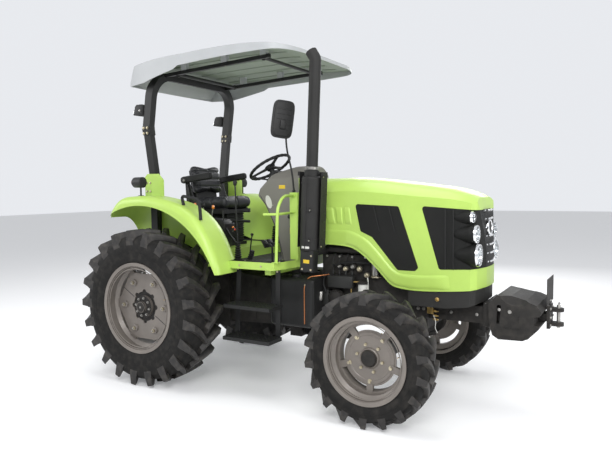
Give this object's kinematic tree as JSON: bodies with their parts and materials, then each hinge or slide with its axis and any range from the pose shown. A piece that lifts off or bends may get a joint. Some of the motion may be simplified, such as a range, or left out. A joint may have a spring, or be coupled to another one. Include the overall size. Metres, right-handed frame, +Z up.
{
  "type": "farm tractor",
  "caption": "Open-station farm tractor with a roll hoop and canopy, tilting hood, four driven wheels, rear hitch and a front ballast weight.",
  "frame": {"origin": "on the ground under the middle of the whole machine", "axes": "+X ahead, +Y to the machine's left, +Z up"},
  "size_m": [4.4, 2.0014, 2.9444],
  "materials": {
    "green_paint": "gloss",
    "frame_paint": "satin",
    "casting_paint": "satin",
    "tyre": "matte",
    "rim_paint": "satin",
    "steel": "satin",
    "skirt_paint": "satin",
    "black_plastic": "matte",
    "grille_plastic": "satin",
    "cowl_plastic": "satin",
    "canopy_plastic": "satin",
    "lamp_glass": "gloss",
    "seat_vinyl": "satin",
    "exhaust_paint": "matte"
  },
  "bodies": {
    "chassis": {"rear_axle_housing": "casting_paint", "transmission_housing": "casting_paint", "engine_block": "casting_paint", "front_support": "casting_paint", "front_axle": "casting_paint", "nose_skirt": "skirt_paint", "exhaust": "exhaust_paint", "firewall": "green_paint", "dash_cowl": "cowl_plastic", "steering_column": "black_plastic", "platform": "green_paint", "steps": "frame_paint", "fenders": "green_paint", "rops_frame": "frame_paint", "canopy": "canopy_plastic", "seat_frame": "black_plastic", "seat_cushion": "seat_vinyl", "seat_back": "seat_vinyl", "controls": "black_plastic", "handrails": "green_paint", "rear_lamps": "black_plastic", "mirror": "black_plastic", "fuel_tank": "frame_paint", "drawbar": "casting_paint", "front_weight": "casting_paint"},
    "hood": {"hood": "green_paint", "grille": "grille_plastic", "headlamps": "lamp_glass"},
    "rear_wheel_left": {"rear_tyre_left": "tyre", "rear_wheel_left": "rim_paint"},
    "rear_wheel_right": {"rear_tyre_right": "tyre", "rear_wheel_right": "rim_paint"},
    "knuckle_left": {"front_knuckle_left": "casting_paint"},
    "knuckle_right": {"front_knuckle_right": "casting_paint"},
    "front_wheel_left": {"front_tyre_left": "tyre", "front_wheel_left": "rim_paint"},
    "front_wheel_right": {"front_tyre_right": "tyre", "front_wheel_right": "rim_paint"},
    "tie_rod": {"tie_rod": "steel"},
    "steering_wheel": {"steering_wheel": "black_plastic"},
    "lift_arms": {"lift_arms": "casting_paint"},
    "lift_rods": {"lift_rods": "frame_paint"},
    "lower_links": {"lower_links": "casting_paint"},
    "top_link": {"top_link": "steel"},
    "pto_shaft": {"pto_shaft": "steel"}
  },
  "joints": [
    {"name": "hood_hinge", "type": "hinge", "parent": "chassis", "child": "hood", "pos_m": [0.176, 0, 1.822], "axis": [0, -1, 0], "range_deg": [0, 50]},
    {"name": "rear_wheel_left_spin", "type": "hinge", "parent": "chassis", "child": "rear_wheel_left", "pos_m": [-1.2, 0.81, 0.703], "axis": [0, 1, 0], "continuous": true},
    {"name": "rear_wheel_right_spin", "type": "hinge", "parent": "chassis", "child": "rear_wheel_right", "pos_m": [-1.2, -0.81, 0.703], "axis": [0, 1, 0], "continuous": true},
    {"name": "steer_left", "type": "hinge", "parent": "chassis", "child": "knuckle_left", "pos_m": [0.98, 0.56, 0.498], "axis": [0, 0, 1], "range_deg": [-40, 40]},
    {"name": "front_wheel_left_spin", "type": "hinge", "parent": "knuckle_left", "child": "front_wheel_left", "pos_m": [0.98, 0.79, 0.498], "axis": [0, 1, 0], "continuous": true},
    {"name": "steer_right", "type": "hinge", "parent": "chassis", "child": "knuckle_right", "pos_m": [0.98, -0.56, 0.498], "axis": [0, 0, 1], "range_deg": [-40, 40]},
    {"name": "front_wheel_right_spin", "type": "hinge", "parent": "knuckle_right", "child": "front_wheel_right", "pos_m": [0.98, -0.79, 0.498], "axis": [0, 1, 0], "continuous": true},
    {"name": "tie_rod_pivot", "type": "hinge", "parent": "knuckle_left", "child": "tie_rod", "pos_m": [0.83, 0.56, 0.365], "axis": [0, 0, 1], "range_deg": [-41, 41]},
    {"name": "steering_wheel_turn", "type": "hinge", "parent": "chassis", "child": "steering_wheel", "pos_m": [-0.4, 0, 1.955], "axis": [-0.5299, 0, 0.848], "range_deg": [-721, 721]},
    {"name": "lift_arm_raise", "type": "hinge", "parent": "chassis", "child": "lift_arms", "pos_m": [-1.483, 0, 1.053], "axis": [0, 1, 0], "range_deg": [-24, 26.6]},
    {"name": "lower_link_raise", "type": "hinge", "parent": "chassis", "child": "lower_links", "pos_m": [-1.22, 0, 0.455], "axis": [0, 1, 0], "range_deg": [-18.5, 20.5]},
    {"name": "lift_rod_swing", "type": "hinge", "parent": "lift_arms", "child": "lift_rods", "pos_m": [-1.80296, 0, 1.05775], "axis": [0, 1, 0], "range_deg": [-27.8, 25]},
    {"name": "top_link_swing", "type": "hinge", "parent": "chassis", "child": "top_link", "pos_m": [-1.57, 0, 0.905], "axis": [0, 1, 0], "range_deg": [-25, 40]},
    {"name": "pto_spin", "type": "hinge", "parent": "chassis", "child": "pto_shaft", "pos_m": [-1.58, 0, 0.64], "axis": [1, 0, 0], "continuous": true}
  ],
  "couplings": [
    {"joint": "steer_right", "follows": "steer_left", "ratio": 1},
    {"joint": "tie_rod_pivot", "follows": "steer_left", "ratio": -1},
    {"joint": "steering_wheel_turn", "follows": "steer_left", "ratio": 18},
    {"joint": "lower_link_raise", "follows": "lift_arm_raise", "ratio": 0.75},
    {"joint": "lift_rod_swing", "follows": "lift_arm_raise", "ratio": -1.028}
  ]
}
